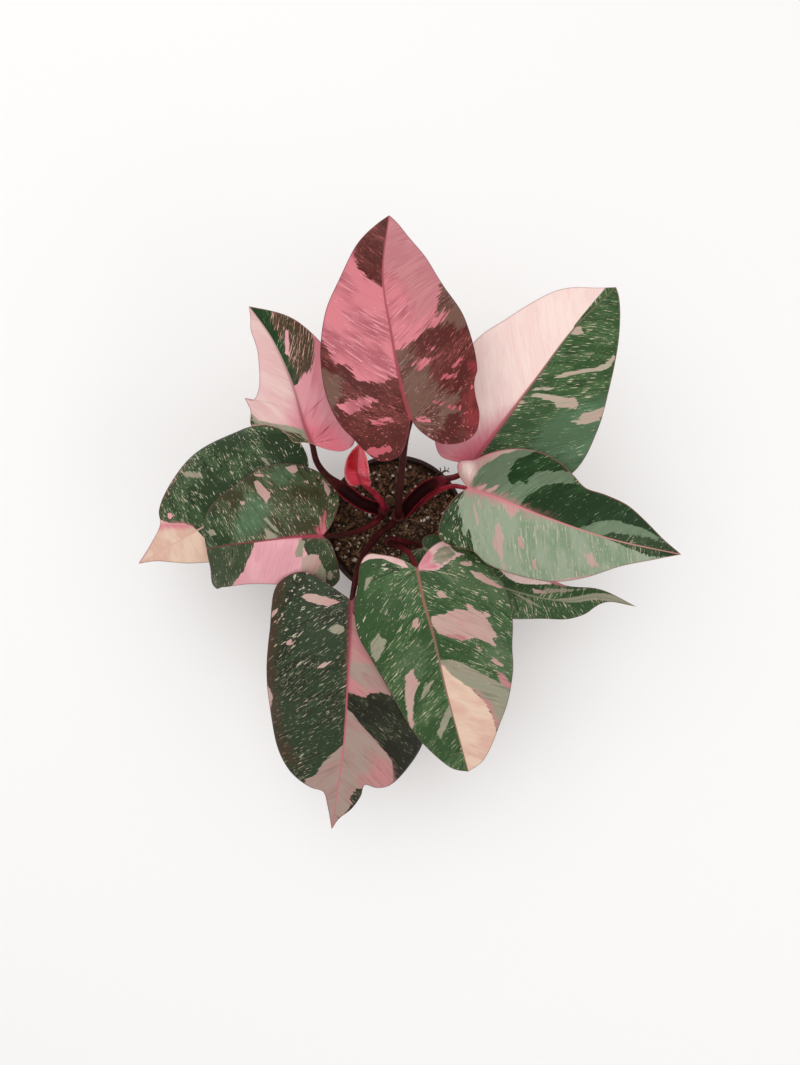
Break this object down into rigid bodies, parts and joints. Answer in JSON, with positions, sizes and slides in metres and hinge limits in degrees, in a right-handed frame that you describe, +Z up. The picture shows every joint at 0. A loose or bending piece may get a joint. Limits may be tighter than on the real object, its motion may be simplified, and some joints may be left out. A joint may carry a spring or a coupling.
{
  "type": "pink princess philodendron in a nursery pot",
  "caption": "Potted philodendron with heart-shaped waved leaves in pink, cream and dark green, on red stalks from short stems in a round nursery pot of potting mix.",
  "frame": {"origin": "centre of the flat underside of the pot", "axes": "+Z up along the pot's axis, +Y towards the back leaf, +X towards the leaf on the right"},
  "size_m": [0.3682, 0.3963, 0.2211],
  "materials": {
    "pot": "satin",
    "potting_mix": "matte",
    "stem": "matte",
    "stalk": "satin",
    "green_blade": "satin",
    "pink_blade": "satin",
    "new_leaf": "gloss",
    "dry_sheath": "matte"
  },
  "bodies": {
    "root": {"pot": "pot", "soil": "potting_mix", "stem_west": "stem", "stem_middle": "stem", "stem_front": "stem", "leaf_top_blade": "pink_blade", "leaf_top_stalk": "stalk", "leaf_back_left_blade": "pink_blade", "leaf_back_left_stalk": "stalk", "leaf_left_blade": "green_blade", "leaf_left_stalk": "stalk", "leaf_left_front_blade": "green_blade", "leaf_left_front_stalk": "stalk", "leaf_front_left_blade": "green_blade", "leaf_front_left_stalk": "stalk", "leaf_front_blade": "green_blade", "leaf_front_stalk": "stalk", "leaf_right_blade": "green_blade", "leaf_right_stalk": "stalk", "leaf_back_right_blade": "green_blade", "leaf_back_right_stalk": "stalk", "leaf_low_right_blade": "green_blade", "leaf_low_right_stalk": "stalk", "new_leaf_blade": "new_leaf", "new_leaf_stalk": "stalk", "dry_sheath": "dry_sheath"}
  },
  "joints": []
}
